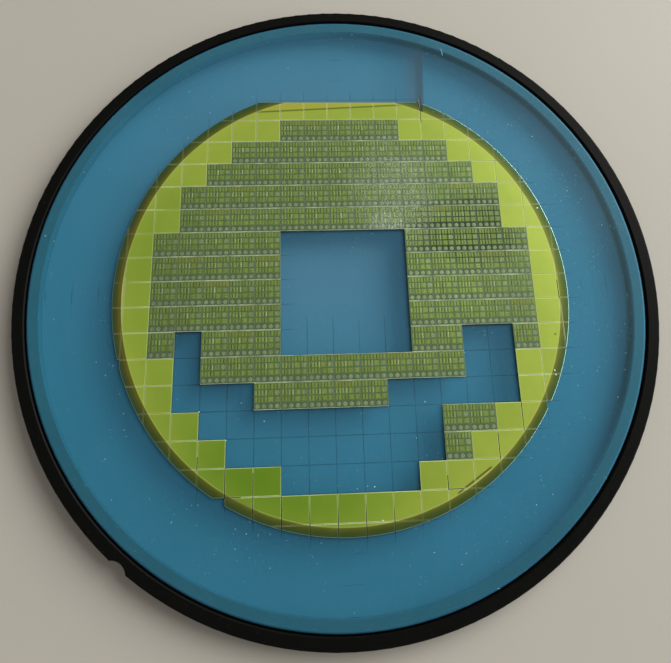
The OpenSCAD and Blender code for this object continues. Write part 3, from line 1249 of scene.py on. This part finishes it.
# Flakes that show by themselves: place from the wafer's middle, whether on a die, and size
FLAKES = [
    (-98.5, 20.6, False, 0.5),
    (-45.9, -37.6, True, 0.5),
    (-37.5, -46.3, True, 0.45),
    (34.4, 65.0, True, 0.25),
    (68.1, 27.4, True, 0.8),
    (67.0, -28.2, True, 0.7),
    (67.2, -29.6, True, 0.6),
    (9.3, -70.6, True, 0.6),
    (41.5, 38.0, True, 0.35),
    (7.3, -61.2, False, 0.5),
    (5.2, -60.9, False, 0.3),
    (2.1, -61.5, False, 0.35),
    (24.4, -36.7, False, 0.35),
    (21.0, -47.5, False, 0.3),
    (-26.0, -41.0, False, 0.4),
    (38.2, -21.6, False, 0.4),
]

# Width, depth and height of the splinter in the chip beside the flat, its turn, and how far it
# stands to the left of the saw line and past the flat
SLIVER_SIZE = (0.15 * MM, 3.9 * MM, 0.6 * MM)
SLIVER_TURN = math.radians(-5)
SLIVER_ASIDE = 0.10 * MM
SLIVER_PAST = 0.5 * MM

# Number of grains of dust on the tape, and the seed of their places
GRAIN_COUNT = 150
GRAIN_SEED = 5


def flake_material():
    """Clean broken silicon, with a slight gleam."""
    finish = Finish("Silicon flakes")
    fine = finish.noise(0.2)
    surface = finish.principled(
        base_color=finish.shade((0.72, 0.76, 0.74), 0.7 + fine * 0.6),
        roughness=0.4 + fine * 0.2,
        metallic=0.2,
    )
    return finish.done(surface)


def splinter_material():
    """Dull broken silicon."""
    finish = Finish("Splinter")
    base = finish.shade((0.30, 0.31, 0.23), 0.7 + finish.noise(0.5) * 0.6)
    return finish.done(finish.principled(base_color=base))


def standing_sliver():
    """The splinter that still stands in the chip beside the flat."""
    piece = start_piece("chip_sliver")
    width, depth, height = SLIVER_SIZE
    middle = (CREASE_X - SLIVER_ASIDE, WAFER_Y + FLAT_Y - depth / 2 + SLIVER_PAST, TAPE_TOP + height / 2)
    bpy.ops.mesh.primitive_cube_add(size=1, location=middle)
    bpy.ops.transform.resize(value=(width, depth, height), center_override=middle)
    bpy.ops.mesh.subdivide(number_cuts=3)
    bpy.ops.transform.vertex_random(offset=width * 0.14, seed=3)
    bpy.ops.transform.rotate(value=SLIVER_TURN, orient_axis="Z", center_override=middle)
    bpy.ops.object.mode_set(mode="OBJECT")
    finish_piece(piece, "chip_sliver", splinter_material())


class WAFER_OT_dust(bpy.types.Operator):
    """Scatter flakes of silicon and dust"""

    bl_idname = "wafer.dust"
    bl_label = "Saw Dust"

    def execute(self, context):
        material = flake_material()
        flakes = []
        for x, y, on_die, size in FLAKES:
            z = WAFER_TOP if on_die else TAPE_TOP
            flakes.append((WAFER_X + x * MM, WAFER_Y + y * MM, z, size * MM))
        shards("silicon_flakes", flakes, material)
        shards("tape_dust", scattered(GRAIN_COUNT, GRAIN_SEED), material)
        standing_sliver()
        return {"FINISHED"}


# ---------------------------------------------------------------- stage

# Place, turn, angle of view and shift of the camera
CAMERA_PLACE = Vector((-8.74, -45.16, 199.55)) * MM
CAMERA_TURN = [math.radians(angle) for angle in (16.285, -2.475, -1.903)]
CAMERA_ANGLE = math.radians(58.425)
CAMERA_SHIFT = (-0.0156, -0.1174)

# Side of the floor
FLOOR_SIZE = 8.0

# Where the light comes from: the main window, and a weak low one beside it
WINDOW = Vector((0.72, 0.50, 0.49))
LOW_WINDOW = Vector((0.93, -0.18, 0.33))
# How wide the window light is, and the distances and the relative width of the lamps
WINDOW_SPREAD = math.radians(52)
NEAR = 0.62
LOW = 1.4
LAMP_SPREAD = 0.48
# Colours of the window light, the lamps and the light from all round
WINDOW_COLOUR = (1.0, 0.985, 0.95)
LAMP_COLOUR = (0.92, 1.0, 0.96)
ROOM_COLOUR = (1.0, 0.96, 0.89)


class WAFER_OT_stage(bpy.types.Operator):
    """Lay the floor, hang the lights and set up the camera"""

    bl_idname = "wafer.stage"
    bl_label = "Stage"

    def execute(self, context):
        settings = context.scene.wafer_stage
        self.lay_floor(settings)
        self.hang_lights(context.scene, settings)
        self.set_camera(context.scene)
        context.scene.view_settings.view_transform = "Standard"
        return {"FINISHED"}

    def lay_floor(self, settings):
        """A plain pale table, with the slightest unevenness of tone."""
        deselect_all()
        bpy.ops.mesh.primitive_plane_add(size=FLOOR_SIZE)
        floor = bpy.context.object
        floor.name = "floor"
        finish = Finish("Pale table")
        cloud = finish.noise(60, detail=3)
        grain = finish.noise(1.2, detail=2)
        table = finish.shade(settings.floor, 0.97 + cloud.swing(0.05) + grain.swing(0.03))
        surface = finish.principled(base_color=table, roughness=0.7, specular_ior_level=0.3)
        coat(floor, finish.done(surface))

    def hang_lights(self, scene, settings):
        """The window light, a near lamp on the same side, a low lamp, and light from all round."""
        towards = WINDOW.normalized()
        bpy.ops.object.light_add(type="SUN", location=towards)
        sun = bpy.context.object
        sun.data.energy = settings.sun
        sun.data.angle = WINDOW_SPREAD
        sun.data.color = WINDOW_COLOUR
        self.aim(sun, towards)
        for direction, power, far in ((WINDOW, settings.lamp, NEAR), (LOW_WINDOW, settings.low_lamp, LOW)):
            towards = direction.normalized()
            bpy.ops.object.light_add(type="AREA", location=towards * far)
            lamp = bpy.context.object
            lamp.data.shape = "SQUARE"
            lamp.data.size = far * LAMP_SPREAD
            lamp.data.energy = power
            lamp.data.color = LAMP_COLOUR
            self.aim(lamp, towards)
        world = bpy.data.worlds.new("Room")
        scene.world = world
        world.use_nodes = True
        background = world.node_tree.nodes["Background"]
        background.inputs["Color"].default_value = (*ROOM_COLOUR, 1)
        background.inputs["Strength"].default_value = settings.sky

    def aim(self, light, towards):
        """Turns a light that stands in this direction to shine at the middle of the rings."""
        light.rotation_euler = towards.to_track_quat("Z", "Y").to_euler()

    def set_camera(self, scene):
        """The camera, nearly straight above the wafer."""
        bpy.ops.object.camera_add(location=CAMERA_PLACE, rotation=CAMERA_TURN)
        camera = bpy.context.object
        camera.data.angle = CAMERA_ANGLE
        camera.data.shift_x, camera.data.shift_y = CAMERA_SHIFT
        camera.data.clip_start = 0.005
        scene.camera = camera


# ---------------------------------------------------------------- panel and main

OPERATORS = [
    WAFER_OT_rings,
    WAFER_OT_tape,
    WAFER_OT_blank_dies,
    WAFER_OT_circuit_dies,
    WAFER_OT_strips,
    WAFER_OT_plates,
    WAFER_OT_bars,
    WAFER_OT_pads,
    WAFER_OT_dust,
    WAFER_OT_stage,
]


class WAFER_PT_sidebar(bpy.types.Panel):
    """Buttons for each group of pieces, and their settings"""

    bl_idname = "WAFER_PT_sidebar"
    bl_label = "Diced Wafer"
    bl_space_type = "VIEW_3D"
    bl_region_type = "UI"
    bl_category = "Wafer"

    def draw(self, context):
        for operator in OPERATORS:
            self.layout.operator(operator.bl_idname)
        for key, group in GROUPS.items():
            box = self.layout.box()
            box.label(text=group.__doc__)
            for setting in group.__annotations__:
                box.prop(getattr(context.scene, key), setting)


def register():
    """Makes the operators, the panel and the settings known to Blender."""
    for cls in [*GROUPS.values(), *OPERATORS, WAFER_PT_sidebar]:
        bpy.utils.register_class(cls)
    for key, group in GROUPS.items():
        setattr(bpy.types.Scene, key, bpy.props.PointerProperty(type=group))


def unregister():
    """Takes them away again."""
    for key in GROUPS:
        delattr(bpy.types.Scene, key)
    for cls in reversed([*GROUPS.values(), *OPERATORS, WAFER_PT_sidebar]):
        bpy.utils.unregister_class(cls)


def main():
    """Dresses the whole object."""
    register()
    bpy.ops.wafer.rings()
    bpy.ops.wafer.tape()
    bpy.ops.wafer.blank_dies()
    bpy.ops.wafer.circuit_dies()
    bpy.ops.wafer.strips()
    bpy.ops.wafer.plates()
    bpy.ops.wafer.bars()
    bpy.ops.wafer.pads()
    bpy.ops.wafer.dust()
    bpy.ops.wafer.stage()


if __name__ == "__main__":
    main()
